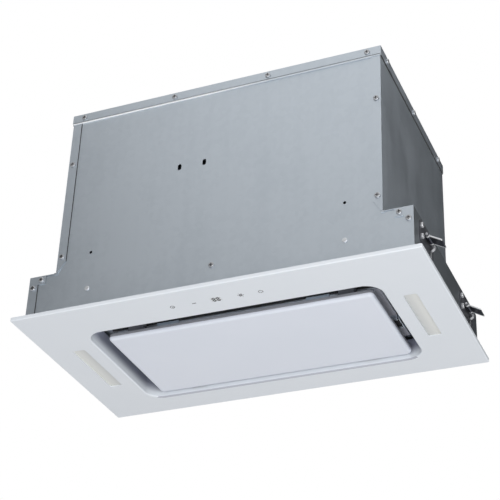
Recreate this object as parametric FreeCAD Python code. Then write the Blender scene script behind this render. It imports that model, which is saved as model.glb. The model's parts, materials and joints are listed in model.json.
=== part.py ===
import FreeCAD, Part
import os
from math import cos, radians, sin

V = FreeCAD.Vector

# Built-in range hood, in millimetres. +X is right, +Y is back, +Z is up.
# The fascia's rim seats under the cabinet at Z = 0, and X = Y = 0 is the middle of the fascia.

# Sheet thicknesses
housing_sheet = 1.0
fascia_sheet = 1.2
scroll_wall = 1.5
collar_wall = 1.5

# Fascia pan
fascia_width = 525.0
fascia_depth = 293.0
fascia_drop = 5.0
fascia_corner = 2.2
fascia_roll = 1.6
hem_overlap = 12.0

# Intake opening in the fascia, with its upturned lip
opening_width = 382.0
opening_front_margin = 61.5
opening_back_margin = 40.0
opening_corner = 22.0
opening_roll = 2.0
opening_lip = 28.5
opening_border = 12.0

# Intake panel
panel_side_gap = 16.0
panel_front_gap = 30.0
panel_back_gap = 2.6
panel_lift = 5.0
panel_height = 8.0
panel_corner = 6.0
panel_roll = 4.5

# Panel hinges and front catches
hinge_side_inset = 55.0
hinge_inset = 8.9
hinge_rise = 4.5
hinge_pin_radius = 1.5
hinge_pin_end = 1.0
knuckle_radius = 2.8
bracket_width = 16.0
bracket_sheet = 2.0
leaf_ear = 7.6
leaf_sheet = 1.2
leaf_length = 22.0
catch_side_inset = 35.0
catch_width = 20.0
catch_depth = 12.0
catch_inset = 5.0
catch_gap = 0.3
strike_sheet = 1.2

# Lamps in the fascia
lamp_offset = 27.5
lamp_width = 17.0
lamp_length = 106.0
lamp_shift = -1.0
lamp_corner = 3.0
lamp_rim = 2.0
lens_thickness = 2.0
lamp_box_height = 12.0
lamp_box_wall = 1.5
led_board_thickness = 1.2

# Touch control behind the fascia's front edge
touch_margin = 33.0
touch_length = 140.0
touch_depth = 9.0
touch_board_thickness = 1.6
display_width = 14.0
display_depth = 9.0
display_rim = 2.0
display_lip = 1.0
display_recess = 0.1
holder_wall = 2.0

# Housing
front_overhang = 14.0
back_overhang = 6.0
lower_width = 500.0
lower_height = 62.0
upper_width = 427.0
housing_height = 305.0
strip_width = 12.0
strip_taper = 10.0
strip_taper_height = 16.0
step_tab = 23.0
relief_radius = 1.6
sheet_gap = 0.2
cover_lip = 13.0
cover_gap = 0.1

# Holes and slots of the front plate
slot_x = (-52.0, -18.0)
slot_z = 186.0
slot_width = 5.0
slot_length = 9.0
pilot_hole_x = 167.0
pilot_hole_z = 84.0
pilot_hole_radius = 2.0

# Screws and rivets
head_radius = 3.5
head_height = 2.2
head_round = 1.1
shank_radius = 1.9
shank_length = 6.0
recess_width = 0.9
recess_span = 4.2
recess_depth = 1.2
hole_gap = 0.15
rivet_radius = 3.2
rivet_height = 1.4
rivet_round = 1.0
rivet_stem = 1.6
rivet_grip = 3.0
rail_fastener_x = 167.0
rail_fastener_z = 32.0
cover_screw_x = (65.0, 197.0)
cover_screw_pitch = 112.0
strip_screw_z = (84.5, 225.5)
step_screw_inset = 17.0
lower_screw_z = 45.7
fascia_screw_x = (50.0, 150.0)
fascia_screw_pitch = 44.0

# Filter and the rails that carry it
rail_level = 27.0
rail_flange = 12.0
filter_width = 356.0
filter_front_inset = 47.0
filter_back_inset = 20.5
filter_height = 9.0
filter_border = 12.0
filter_overlap = 7.0
mesh_thickness = 4.0
mesh_gap = 0.2
rail_lap = 10.0
hook_x = 100.0
hook_width = 30.0
hook_sheet = 1.2
hook_reach = 6.0
hook_gap = 0.3

# Filter latches
latch_inset = 43.0
latch_length = 20.0
latch_width = 14.0
latch_thickness = 3.7
latch_gap = 0.3
latch_travel = 6.0
tongue_length = 6.0
tongue_width = 8.0
keeper_gap = 1.5
keeper_width = 26.0
grip_height = 5.0
guide_wall = 1.6

# Blower, on an axis along X
fan_shift = -24.0
fan_drop = 135.0
scroll_width = 140.0
scroll_base = 97.0
scroll_step = 7.0
tongue_y = 10.0
inlet_radius = 66.0
fan_radius = 85.0
fan_width = 122.0
fan_inner_radius = 71.0
fan_ring = 3.0
fan_disc = 3.0
blade_count = 36
blade_sweep = 7.0
blade_thickness = 1.0
hub_radius = 14.0
shaft_radius = 4.0
shaft_gap = 0.05
motor_radius = 44.0
motor_start = 14.0
arm_count = 3
arm_start = 90.0
arm_width = 14.0
arm_reach = 80.0
bracket_plate = 2.0
capacitor_radius = 16.0
capacitor_length = 50.0
capacitor_y = 85.0
capacitor_z = -30.0

# Outlet collar with two damper flaps
collar_radius = 75.0
collar_height = 35.0
collar_flange = 10.0
collar_shoulder = 0.7
outlet_flange = 10.0
damper_rise = 13.0
damper_rod_radius = 2.0
damper_knuckle = 3.2
damper_sheet = 1.2
damper_gap = 1.5
damper_slot = 3.6
knuckle_length = 20.0
knuckle_gap = 0.5
stop_width = 3.5

# Power box on the left wall and cable gland in the cover
box_depth = 40.0
box_length = 120.0
box_height = 70.0
box_drop = 16.0
box_wall = 2.0
board_thickness = 1.6
board_margin = 6.0
standoff_height = 5.0
standoff_radius = 3.0
gland_side_inset = 63.5
gland_inset = 40.5
gland_radius = 7.0
gland_bore = 4.0
gland_collar = 10.0
gland_height = 13.0
gland_nut = 4.0

# Side clips
clip_front_inset = 47.5
clip_back_inset = 54.5
clip_z = 43.0
clip_offset = 4.5
clip_plate = 1.2
clip_plate_length = 54.0
clip_plate_low = 27.0
clip_plate_high = 57.0
clip_plate_corner = 5.0
clip_pin_radius = 1.5
clip_knuckle = 2.6
wing_width = 20.0
wing_length = 19.5
wing_angle = 30.0
wing_sheet = 1.2
ear_gap = 0.4
ear_sheet = 1.2
clip_screw_y = -20.0
clip_screw_z = (51.0, 36.0)
spring_width = 5.0
spring_sheet = 0.6
spring_foot = 8.0

# Derived places
housing_front = -fascia_depth / 2 + front_overhang
housing_back = fascia_depth / 2 - back_overhang
opening_front = -fascia_depth / 2 + opening_front_margin
opening_back = fascia_depth / 2 - opening_back_margin
touch_y = -fascia_depth / 2 + touch_margin
middle_y = (housing_front + housing_back) / 2
half_lower = lower_width / 2
half_upper = upper_width / 2
half_opening = opening_width / 2
fascia_under = -fascia_drop
fascia_inside = fascia_under + fascia_sheet
plate_front = housing_front + housing_sheet
plate_back = housing_back - housing_sheet
room_front = plate_front + housing_sheet
room_back = plate_back - housing_sheet
cover_under = housing_height - housing_sheet
panel_half = half_opening - panel_side_gap
hinge_x = panel_half - hinge_side_inset
catch_x = panel_half - catch_side_inset
lamp_x = half_opening + lamp_offset
lamp_y = middle_y + lamp_shift
panel_front = opening_front + panel_front_gap
panel_back = opening_back - panel_back_gap
panel_under = fascia_under + panel_lift
panel_inside = panel_under + fascia_sheet
hinge_y = panel_back - hinge_inset
hinge_z = panel_under + hinge_rise
filter_under = rail_level - filter_height
filter_front = opening_front + filter_front_inset
filter_back = opening_back - filter_back_inset
half_filter = filter_width / 2
latch_y = filter_back - latch_inset
keeper_x = half_filter + keeper_gap
fan_y = middle_y + fan_shift
fan_z = housing_height - fan_drop
scroll_top = cover_under - fan_z
scroll_shift = scroll_step / 2
outlet_wall = scroll_shift + scroll_base + 2 * scroll_step
outlet_y = fan_y + (tongue_y + outlet_wall) / 2
half_scroll = scroll_width / 2
damper_z = housing_height + damper_rise
clip_x = half_lower + clip_offset
clip_y = (housing_front + clip_front_inset, housing_back - clip_back_inset)
gland_x = -(half_upper - gland_side_inset)
gland_y = housing_back - gland_inset

touching = 0.01

X_AXIS = V(1, 0, 0)
Y_AXIS = V(0, 1, 0)
Z_AXIS = V(0, 0, 1)
TO_FRONT = V(0, -1, 0)
TO_LEFT = V(-1, 0, 0)


# Shape helpers

def block(x0, x1, y0, y1, z0, z1):
    return Part.makeBox(x1 - x0, y1 - y0, z1 - z0, V(x0, y0, z0))


def rod(x, y, z, axis, radius, length):
    return Part.makeCylinder(radius, length, V(x, y, z), axis)


def tube(x, y, z, axis, outer, inner, length):
    return rod(x, y, z, axis, outer, length).cut(rod(x, y, z, axis, inner, length))


def outline(x0, x1, y0, y1, corner, z):
    near = corner * (1 - cos(radians(45)))
    edges = []
    corners = [
        (V(x1 - corner, y0, z), V(x1 - near, y0 + near, z), V(x1, y0 + corner, z)),
        (V(x1, y1 - corner, z), V(x1 - near, y1 - near, z), V(x1 - corner, y1, z)),
        (V(x0 + corner, y1, z), V(x0 + near, y1 - near, z), V(x0, y1 - corner, z)),
        (V(x0, y0 + corner, z), V(x0 + near, y0 + near, z), V(x0 + corner, y0, z)),
    ]
    last = corners[-1][2]
    for start, middle, end in corners:
        edges.append(Part.LineSegment(last, start).toShape())
        edges.append(Part.Arc(start, middle, end).toShape())
        last = end
    return Part.Wire(edges)


def plate(x0, x1, y0, y1, corner, z0, z1):
    return Part.Face(outline(x0, x1, y0, y1, corner, z0)).extrude(V(0, 0, z1 - z0))


def joined(shapes):
    return shapes[0].multiFuse(shapes[1:]).removeSplitter()


def flat_edges(shape, z):
    return [edge for edge in shape.Edges
            if abs(edge.BoundBox.ZMin - z) < touching and abs(edge.BoundBox.ZMax - z) < touching]


def inner_edges(shape, z, grow):
    found = []
    for edge in flat_edges(shape, z):
        box = edge.BoundBox
        x = max(abs(box.XMin), abs(box.XMax))
        front = opening_front - grow - touching
        back = opening_back + grow + touching
        if x < half_opening + grow + touching and box.YMin > front and box.YMax < back:
            found.append(edge)
    return found


def mirror_x(shape):
    return shape.mirror(V(0, 0, 0), X_AXIS)


def both_sides(shape):
    return [shape, mirror_x(shape)]


def placed(shape, x, y, z, direction):
    copy = shape.copy()
    copy.Placement = FreeCAD.Placement(V(x, y, z), FreeCAD.Rotation(Z_AXIS, direction))
    return copy


def pan_screw(length):
    head = rod(0, 0, 0, Z_AXIS, head_radius, head_height)
    head = head.makeFillet(head_round, flat_edges(head, head_height))
    recess_low = head_height - recess_depth
    half_span = recess_span / 2
    half_width = recess_width / 2
    for across in (True, False):
        x = half_span if across else half_width
        y = half_width if across else half_span
        head = head.cut(block(-x, x, -y, y, recess_low, head_height))
    return head.fuse(rod(0, 0, -length, Z_AXIS, shank_radius, length)).removeSplitter()


def dome_rivet():
    head = rod(0, 0, 0, Z_AXIS, rivet_radius, rivet_height)
    head = head.makeFillet(rivet_round, flat_edges(head, rivet_height))
    return head.fuse(rod(0, 0, -rivet_grip, Z_AXIS, rivet_stem, rivet_grip)).removeSplitter()


screw = pan_screw(shank_length)
hem_screw = pan_screw(housing_sheet + 2 * fascia_sheet)
rivet = dome_rivet()
screw_hole = shank_radius + hole_gap
rivet_hole = rivet_stem + hole_gap
drill_depth = 2 * shank_length


def drilled(shape, places, direction, radius):
    holes = []
    for x, y, z in places:
        start = V(x, y, z) - direction * (drill_depth / 2)
        holes.append(Part.makeCylinder(radius, drill_depth, start, direction))
    return shape.cut(holes)


# Places of the fasteners

def mirrored_places(places):
    return places + [(-x, y, z) for x, y, z in places]


strip_x = half_upper - strip_width / 2
strip_places = [(strip_x, z) for z in strip_screw_z]
strip_places.append((half_lower - step_screw_inset, lower_height - strip_width / 2))
strip_places.append((half_lower - strip_width / 2, lower_screw_z))
front_screws = mirrored_places([(x, housing_front, z) for x, z in strip_places])
back_screws = mirrored_places([(x, housing_back, z) for x, z in strip_places])
relief_places = [(half_upper, y, lower_height) for y in (housing_front, housing_back)]
front_rivets = mirrored_places([(rail_fastener_x, plate_front, rail_fastener_z)])
back_rivets = mirrored_places([(rail_fastener_x, plate_back, rail_fastener_z)])
front_centre = [(0, plate_front, rail_fastener_z)]
back_centre = [(0, plate_back, rail_fastener_z)]
cover_screw_z = housing_height - cover_lip / 2
cover_front = housing_front - cover_gap - housing_sheet
cover_back = housing_back + cover_gap + housing_sheet
cover_side = half_upper + cover_gap + housing_sheet
cover_front_screws = mirrored_places([(x, cover_front, cover_screw_z) for x in cover_screw_x])
cover_back_screws = mirrored_places([(x, cover_back, cover_screw_z) for x in cover_screw_x])
cover_side_y = [middle_y + step * cover_screw_pitch for step in (-1, 0, 1)]
cover_right_screws = [(cover_side, y, cover_screw_z) for y in cover_side_y]
cover_left_screws = [(-cover_side, y, cover_screw_z) for y in cover_side_y]
flange_middle = strip_width / 2
fascia_front_y = room_front + flange_middle
fascia_back_y = room_back - flange_middle
fascia_places = mirrored_places([(x, fascia_front_y, housing_sheet) for x in fascia_screw_x])
fascia_places += mirrored_places([(x, fascia_back_y, housing_sheet) for x in fascia_screw_x])
fascia_side_x = half_lower - housing_sheet - flange_middle
fascia_screw_y = [middle_y + step * fascia_screw_pitch for step in (-1, 0, 1)]
fascia_places += mirrored_places([(fascia_side_x, y, housing_sheet) for y in fascia_screw_y])
outlet_screw_x = half_scroll + outlet_flange / 2
outlet_half = (outlet_wall - tongue_y) / 2
outlet_screw_y = outlet_half + outlet_flange / 2
collar_top = housing_height + collar_wall
outlet_places = []
for side in (-1, 1):
    outlet_places += mirrored_places([(outlet_screw_x, outlet_y + side * outlet_screw_y, collar_top)])
clip_places = []
for y in clip_y:
    clip_places += [(half_lower + clip_plate, y + clip_screw_y, z) for z in clip_screw_z]


# Fascia pan with rolled rim, hem, lip and windows

def lamp_window(grow, z0, z1):
    x0 = lamp_x - lamp_width / 2 - grow
    x1 = lamp_x + lamp_width / 2 + grow
    y0 = lamp_y - lamp_length / 2 - grow
    y1 = lamp_y + lamp_length / 2 + grow
    return plate(x0, x1, y0, y1, lamp_corner + grow, z0, z1)


def display_block(grow, z0, z1):
    x = display_width / 2 + grow
    y = display_depth / 2 + grow
    return block(-x, x, touch_y - y, touch_y + y, z0, z1)


def opening_plate(grow, z0, z1):
    x = half_opening + grow
    return plate(-x, x, opening_front - grow, opening_back + grow, opening_corner + grow, z0, z1)


def fascia_plate(inset, z0, z1):
    x = fascia_width / 2 - inset
    y = fascia_depth / 2 - inset
    return plate(-x, x, -y, y, fascia_corner - inset, z0, z1)


def make_fascia():
    outer = fascia_plate(0, fascia_under, 0)
    outer = outer.makeFillet(fascia_roll, flat_edges(outer, fascia_under))
    inner = fascia_plate(fascia_sheet, fascia_inside, fascia_drop)
    inner = inner.makeFillet(fascia_roll - fascia_sheet, flat_edges(inner, fascia_inside))
    hem = fascia_plate(fascia_sheet, -fascia_sheet, 0)
    hem_x = half_lower - hem_overlap
    hem_front = housing_front + hem_overlap
    hem_back = housing_back - hem_overlap
    hem = hem.cut(block(-hem_x, hem_x, hem_front, hem_back, -fascia_drop, fascia_drop))
    hem = drilled(hem, fascia_places, Z_AXIS, screw_hole)
    pan = outer.cut(inner).cut(opening_plate(opening_border - fascia_sheet, -2 * fascia_drop, fascia_drop))
    lip_top = fascia_under + opening_lip
    lip = opening_plate(opening_border, fascia_under, lip_top).cut(opening_plate(0, fascia_under, lip_top))
    lip = lip.makeFillet(opening_roll, inner_edges(lip, fascia_under, 0))
    behind = opening_plate(2 * opening_border, fascia_inside, 2 * lip_top)
    behind = behind.cut(opening_plate(fascia_sheet, fascia_inside, 2 * lip_top))
    behind_edges = inner_edges(behind, fascia_inside, fascia_sheet)
    behind = behind.makeFillet(opening_roll - fascia_sheet, behind_edges)
    shape = joined([pan, hem, lip.cut(behind)])
    windows = both_sides(lamp_window(0, 2 * fascia_under, 0))
    windows.append(display_block(0, 2 * fascia_under, 0))
    return shape.cut(windows)


# Intake panel, its hinges and catches

def make_intake_panel():
    top = panel_under + panel_height
    outer = plate(-panel_half, panel_half, panel_front, panel_back, panel_corner, panel_under, top)
    outer = outer.makeFillet(panel_roll, flat_edges(outer, panel_under))
    x = panel_half - fascia_sheet
    front = panel_front + fascia_sheet
    back = panel_back - fascia_sheet
    inner = plate(-x, x, front, back, panel_corner - fascia_sheet, panel_inside, 2 * top)
    inner = inner.makeFillet(panel_roll - fascia_sheet, flat_edges(inner, panel_inside))
    shape = outer.cut(inner)
    notch_x = bracket_width / 2 + 2 * fascia_sheet
    notch_low = hinge_z - bracket_sheet / 2 - fascia_sheet
    notch_y = hinge_y + knuckle_radius
    notch = block(hinge_x - notch_x, hinge_x + notch_x, notch_y, 2 * panel_back, notch_low, 2 * top)
    return shape.cut(both_sides(notch))


def hinge_barrel(x0, x1, bore):
    radius = hinge_pin_radius if bore is None else knuckle_radius
    shape = rod(x0, hinge_y, hinge_z, X_AXIS, radius, x1 - x0)
    return shape if bore is None else shape.cut(rod(x0, hinge_y, hinge_z, X_AXIS, bore, x1 - x0))


hinge_bore = hinge_pin_radius + shaft_gap
ear_start = bracket_width / 2 + knuckle_gap
ear_end = ear_start + leaf_ear


def make_hinge_leaf():
    low = panel_inside
    plate_end = hinge_y - knuckle_radius - knuckle_gap
    x0 = hinge_x - ear_end
    x1 = hinge_x + ear_end
    pieces = [block(x0, x1, plate_end - leaf_length, plate_end, low, low + leaf_sheet)]
    bore = rod(x0, hinge_y, hinge_z, X_AXIS, hinge_bore, x1 - x0)
    for start in (hinge_x - ear_end, hinge_x + ear_start):
        end = start + leaf_ear
        web = block(start, end, plate_end - knuckle_radius, hinge_y, low, hinge_z)
        pieces.append(web.cut(bore))
        pieces.append(hinge_barrel(start, end, hinge_bore))
    return joined(pieces)


def make_hinge_bracket():
    half = bracket_width / 2
    x0 = hinge_x - half
    x1 = hinge_x + half
    web = block(x0, x1, hinge_y - bracket_sheet / 2, hinge_y + bracket_sheet / 2, hinge_z, rail_level)
    web = web.cut(rod(x0, hinge_y, hinge_z, X_AXIS, hinge_bore, bracket_width))
    foot = block(x0, x1, hinge_y, hinge_y + bracket_width, rail_level - bracket_sheet, rail_level)
    return joined([web, foot, hinge_barrel(x0, x1, hinge_bore)])


def make_hinge_pin():
    reach = ear_end + hinge_pin_end
    return hinge_barrel(hinge_x - reach, hinge_x + reach, None)


catch_front = panel_front + catch_inset
catch_back = catch_front + catch_depth
strike_top = panel_under + panel_height + 2 * catch_gap


def make_magnet():
    half = catch_width / 2
    low = strike_top + catch_gap
    body = block(catch_x - half, catch_x + half, catch_front, catch_back, low, rail_level)
    foot_low = rail_level - bracket_sheet
    foot = block(catch_x - catch_width, catch_x + catch_width, catch_front, catch_back, foot_low, rail_level)
    return joined([body, foot])


def make_strike():
    half = catch_width / 2
    x0 = catch_x - half
    x1 = catch_x + half
    low = panel_inside
    foot = block(x0, x1, catch_front, catch_back + catch_depth, low, low + strike_sheet)
    riser = block(x0, x1, catch_back - strike_sheet, catch_back, low, strike_top)
    top = block(x0, x1, catch_front, catch_back, strike_top - strike_sheet, strike_top)
    return joined([foot, riser, top])


# Lamps

def make_lens():
    return lamp_window(lamp_rim, fascia_inside, fascia_inside + lens_thickness)


def make_lamp_housing():
    low = fascia_inside + lens_thickness
    top = low + lamp_box_height
    shell = lamp_window(lamp_rim, low, top)
    return shell.cut(lamp_window(lamp_rim - lamp_box_wall, low, top - lamp_box_wall))


def make_led_board():
    top = fascia_inside + lens_thickness + lamp_box_height - lamp_box_wall
    return lamp_window(lamp_rim - lamp_box_wall - mesh_gap, top - led_board_thickness, top)


# Touch control

display_low = fascia_under + display_recess
board_low = fascia_inside + display_lip
board_top = board_low + touch_board_thickness


def make_display():
    face = display_block(-mesh_gap, display_low, fascia_inside)
    return joined([face, display_block(display_rim, fascia_inside, board_low)])


def make_touch_board():
    half = touch_length / 2
    y = touch_depth / 2
    return block(-half, half, touch_y - y, touch_y + y, board_low, board_top)


def make_control_holder():
    inner = touch_length / 2 + mesh_gap
    outer = inner + holder_wall
    y = touch_depth / 2
    pieces = [block(-outer, outer, touch_y - y, touch_y + y, board_top, board_top + holder_wall)]
    for x0, x1 in ((-outer, -inner), (inner, outer)):
        pieces.append(block(x0, x1, touch_y - y, touch_y + y, fascia_inside, board_top + holder_wall))
    return joined(pieces)


# Housing plates

def make_end_plate(outside, inside, inward, screws, rivets, centre, covers):
    low, high = sorted((outside, inside))
    upper = half_upper - housing_sheet - sheet_gap
    lower = half_lower - housing_sheet - sheet_gap
    step_under = lower_height - housing_sheet - sheet_gap
    flange_end = inside + inward * strip_width
    flange_low, flange_high = sorted((outside, flange_end))
    flange_x = half_lower - housing_sheet - strip_width - sheet_gap
    shape = joined([
        block(-lower, lower, low, high, 0, step_under),
        block(-upper, upper, low, high, 0, cover_under - sheet_gap),
        block(-flange_x, flange_x, flange_low, flange_high, 0, housing_sheet),
    ])
    shape = drilled(shape, screws + centre + covers, Y_AXIS, screw_hole)
    shape = drilled(shape, rivets, Y_AXIS, rivet_hole)
    return drilled(shape, fascia_places, Z_AXIS, screw_hole)


def make_front_panel():
    shape = make_end_plate(plate_front, room_front, 1, front_screws, front_rivets, front_centre,
                           cover_front_screws)
    pilots = [(x, plate_front, pilot_hole_z) for x in (-pilot_hole_x, pilot_hole_x)]
    shape = drilled(shape, pilots, Y_AXIS, pilot_hole_radius)
    half = slot_width / 2
    straight = slot_length / 2 - half
    depth = drill_depth / 2
    for x in slot_x:
        shape = shape.cut(block(x - half, x + half, housing_front, housing_front + depth,
                                slot_z - straight, slot_z + straight))
        ends = [(x, plate_front, slot_z - straight), (x, plate_front, slot_z + straight)]
        shape = drilled(shape, ends, Y_AXIS, half)
    return shape


def make_back_panel():
    return make_end_plate(plate_back, room_back, -1, back_screws, back_rivets, back_centre,
                          cover_back_screws)


def make_upper_side():
    wall = half_upper - housing_sheet
    strip = half_upper - strip_width
    foot = lower_height + housing_sheet
    pieces = [
        block(wall, half_upper, housing_front, housing_back, lower_height, cover_under),
        block(strip, half_upper, housing_front, plate_front, lower_height, cover_under),
        block(strip, half_upper, plate_back, housing_back, lower_height, cover_under),
        block(strip, half_upper, room_front + sheet_gap, room_back - sheet_gap, lower_height, foot),
    ]
    shape = joined(pieces)
    for y in (housing_front - housing_sheet, plate_back):
        corner = Part.makePolygon([
            V(strip, y, lower_height), V(strip + strip_taper, y, lower_height),
            V(strip, y, lower_height + strip_taper_height), V(strip, y, lower_height),
        ])
        shape = shape.cut(Part.Face(corner).extrude(V(0, 2 * housing_sheet, 0)))
    shape = drilled(shape, front_screws + back_screws, Y_AXIS, screw_hole)
    shape = drilled(shape, relief_places, Y_AXIS, relief_radius)
    return drilled(shape, cover_right_screws, X_AXIS, screw_hole)


def make_lower_side():
    wall = half_lower - housing_sheet
    strip = half_lower - strip_width
    step = lower_height - housing_sheet
    step_in = half_upper - strip_width
    step_strip = lower_height - strip_width
    inner_front = room_front + sheet_gap
    inner_back = room_back - sheet_gap
    pieces = [
        block(wall, half_lower, housing_front, housing_back, 0, lower_height),
        block(half_upper, half_lower, housing_front, housing_back, step, lower_height),
        block(step_in, half_lower, inner_front, inner_back, step, lower_height),
        block(strip, wall, inner_front + strip_width, inner_back - strip_width, 0, housing_sheet),
    ]
    for y0, y1 in ((housing_front, plate_front), (plate_back, housing_back)):
        pieces.append(block(strip, half_lower, y0, y1, 0, lower_height))
        pieces.append(block(half_lower - step_tab, half_lower, y0, y1, step_strip, lower_height))
    shape = drilled(joined(pieces), front_screws + back_screws, Y_AXIS, screw_hole)
    shape = drilled(shape, relief_places, Y_AXIS, relief_radius)
    shape = drilled(shape, clip_places, X_AXIS, screw_hole)
    return drilled(shape, fascia_places, Z_AXIS, screw_hole)


def make_top_cover():
    low = housing_height - cover_lip
    shape = block(-cover_side, cover_side, cover_front, cover_back, low, housing_height)
    x = cover_side - housing_sheet
    shape = shape.cut(block(-x, x, cover_front + housing_sheet, cover_back - housing_sheet, low, cover_under))
    shape = drilled(shape, cover_front_screws + cover_back_screws, Y_AXIS, screw_hole)
    shape = drilled(shape, cover_right_screws + cover_left_screws, X_AXIS, screw_hole)
    shape = drilled(shape, outlet_places, Z_AXIS, screw_hole)
    shape = drilled(shape, [(gland_x, gland_y, housing_height)], Z_AXIS, gland_radius + shaft_gap)
    inner_x = half_scroll - scroll_wall
    inner_y = outlet_half
    hole = block(-inner_x, inner_x, outlet_y - inner_y, outlet_y + inner_y, low, 2 * housing_height)
    return shape.cut(hole)


# Filter rails, filter and latches

def make_end_rail(wall, inward, edge, rivets, centre):
    half = half_lower - housing_sheet - sheet_gap
    level = rail_level + housing_sheet
    low, high = sorted((wall, edge))
    flange_low, flange_high = sorted((wall, wall + inward * housing_sheet))
    shape = joined([
        block(-half, half, low, high, rail_level, level),
        block(-half, half, flange_low, flange_high, rail_level, level + rail_flange),
    ])
    shape = drilled(shape, centre, Y_AXIS, screw_hole)
    return drilled(shape, rivets, Y_AXIS, rivet_hole)


front_rail_edge = filter_front + filter_overlap
back_rail_edge = filter_back - filter_overlap


def make_front_rail():
    shape = make_end_rail(room_front, 1, front_rail_edge, front_rivets, front_centre)
    ledge_top = filter_under - hook_gap
    riser = filter_front - hook_gap
    half = hook_width / 2
    pieces = [shape]
    for centre in (-hook_x, hook_x):
        x0 = centre - half
        x1 = centre + half
        pieces.append(block(x0, x1, riser - hook_sheet, riser, ledge_top - hook_sheet, rail_level))
        pieces.append(block(x0, x1, riser, riser + hook_reach, ledge_top - hook_sheet, ledge_top))
    return joined(pieces)


def make_rear_rail():
    return make_end_rail(room_back, -1, back_rail_edge, back_rivets, back_centre)


latch_top = filter_under - latch_gap
latch_low = latch_top - latch_thickness
guide_low = latch_low - latch_gap - guide_wall


def make_side_rail():
    wall = half_lower - housing_sheet
    level = rail_level + housing_sheet
    y0 = front_rail_edge - rail_lap
    y1 = back_rail_edge + rail_lap
    half = keeper_width / 2
    slot = tongue_width / 2 + latch_gap
    keeper = block(keeper_x, keeper_x + housing_sheet, latch_y - half, latch_y + half, guide_low, level)
    slot_x0 = keeper_x - housing_sheet
    slot_x1 = keeper_x + 2 * housing_sheet
    slot_low = latch_low - latch_gap
    keeper_slot = block(slot_x0, slot_x1, latch_y - slot, latch_y + slot, slot_low, latch_top + latch_gap)
    shape = joined([
        block(half_filter - filter_overlap, wall, y0, y1, level, level + housing_sheet),
        block(wall - housing_sheet, wall, y0, y1, level, level + rail_flange),
        keeper.cut(keeper_slot),
    ])
    return drilled(shape, clip_places, X_AXIS, screw_hole)


def make_filter_frame():
    outer = block(-half_filter, half_filter, filter_front, filter_back, filter_under, rail_level)
    x = half_filter - filter_border
    front = filter_front + filter_border
    back = filter_back - filter_border
    return outer.cut(block(-x, x, front, back, filter_under, rail_level))


def make_filter_mesh():
    x = half_filter - filter_border - mesh_gap
    front = filter_front + filter_border + mesh_gap
    back = filter_back - filter_border - mesh_gap
    low = filter_under + (filter_height - mesh_thickness) / 2
    return block(-x, x, front, back, low, low + mesh_thickness)


def make_latch():
    outer = half_filter - housing_sheet
    inner = outer - latch_width
    half = latch_length / 2
    tongue = tongue_width / 2
    grip = latch_width / 4
    body = block(inner, outer, latch_y - half, latch_y + half, latch_low, latch_top)
    tip = block(outer, outer + tongue_length, latch_y - tongue, latch_y + tongue, latch_low, latch_top)
    handle = block(inner + grip, inner + 2 * grip, latch_y - tongue, latch_y + tongue,
                   latch_low - grip_height, latch_low)
    return joined([body, tip, handle])


def make_latch_guides():
    outer = half_filter
    inner = outer - latch_width - latch_travel
    near = latch_length / 2 + mesh_gap
    lip = near - guide_wall
    far = near + guide_wall
    guides = []
    for side in (-1, 1):
        wall_y = sorted((latch_y + side * near, latch_y + side * far))
        lip_y = sorted((latch_y + side * lip, latch_y + side * far))
        guides.append(joined([
            block(inner, outer, wall_y[0], wall_y[1], guide_low, filter_under),
            block(inner, outer, lip_y[0], lip_y[1], guide_low, guide_low + guide_wall),
        ]))
    return guides


# Blower

def scroll_face(grow, x):
    def at(y, z):
        return V(x, fan_y + y, fan_z + z)

    def quarter(centre_y, centre_z, radius, start):
        points = []
        for turn in (0, 45, 90):
            angle = radians(start + turn)
            points.append(at(centre_y + radius * cos(angle), centre_z + radius * sin(angle)))
        return Part.Arc(points[0], points[1], points[2]).toShape()

    shift = scroll_shift
    first = scroll_base + grow
    second = first + scroll_step
    third = second + scroll_step
    arcs = [
        quarter(-shift, -shift, first, 90),
        quarter(shift, -shift, second, 180),
        quarter(shift, shift, third, 270),
    ]
    corner = at(tongue_y - grow, first - shift)
    left = at(tongue_y - grow, scroll_top)
    right = at(shift + third, scroll_top)
    lines = [(right, left), (left, corner), (corner, at(-shift, first - shift))]
    edges = [Part.LineSegment(at(shift + third, shift), right).toShape()]
    edges += [Part.LineSegment(start, end).toShape() for start, end in lines]
    return Part.Face(Part.Wire(edges + arcs))


def make_scroll_right():
    inner_x = half_scroll - scroll_wall
    outer = scroll_face(scroll_wall, 0).extrude(V(half_scroll, 0, 0))
    flange_x = half_scroll + outlet_flange
    flange_y = outlet_half + outlet_flange
    flange_low = cover_under - scroll_wall
    flange = block(0, flange_x, outlet_y - flange_y, outlet_y + flange_y, flange_low, cover_under)
    mouth = block(0, inner_x, outlet_y - outlet_half, outlet_y + outlet_half, flange_low, cover_under)
    shape = outer.fuse(flange).cut(scroll_face(0, 0).extrude(V(inner_x, 0, 0))).cut(mouth)
    shape = shape.cut(rod(0, fan_y, fan_z, X_AXIS, inlet_radius, scroll_width))
    return drilled(shape.removeSplitter(), outlet_places, Z_AXIS, screw_hole)


def make_blade():
    inner = fan_inner_radius
    outer = fan_radius - blade_thickness / 2
    half = fan_width / 2
    shift = blade_thickness / fan_radius

    def at(radius, degrees, extra):
        angle = radians(degrees) + extra
        return V(-half, fan_y + radius * cos(angle), fan_z + radius * sin(angle))

    middle = (inner + outer) / 2
    first = [at(inner, 0, 0), at(middle, blade_sweep / 3, 0), at(outer, blade_sweep, 0)]
    second = [at(inner, 0, shift), at(middle, blade_sweep / 3, shift), at(outer, blade_sweep, shift)]
    edges = [
        Part.Arc(first[0], first[1], first[2]).toShape(),
        Part.LineSegment(first[2], second[2]).toShape(),
        Part.Arc(second[2], second[1], second[0]).toShape(),
        Part.LineSegment(second[0], first[0]).toShape(),
    ]
    return Part.Face(Part.Wire(edges)).extrude(V(fan_width, 0, 0))


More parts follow.
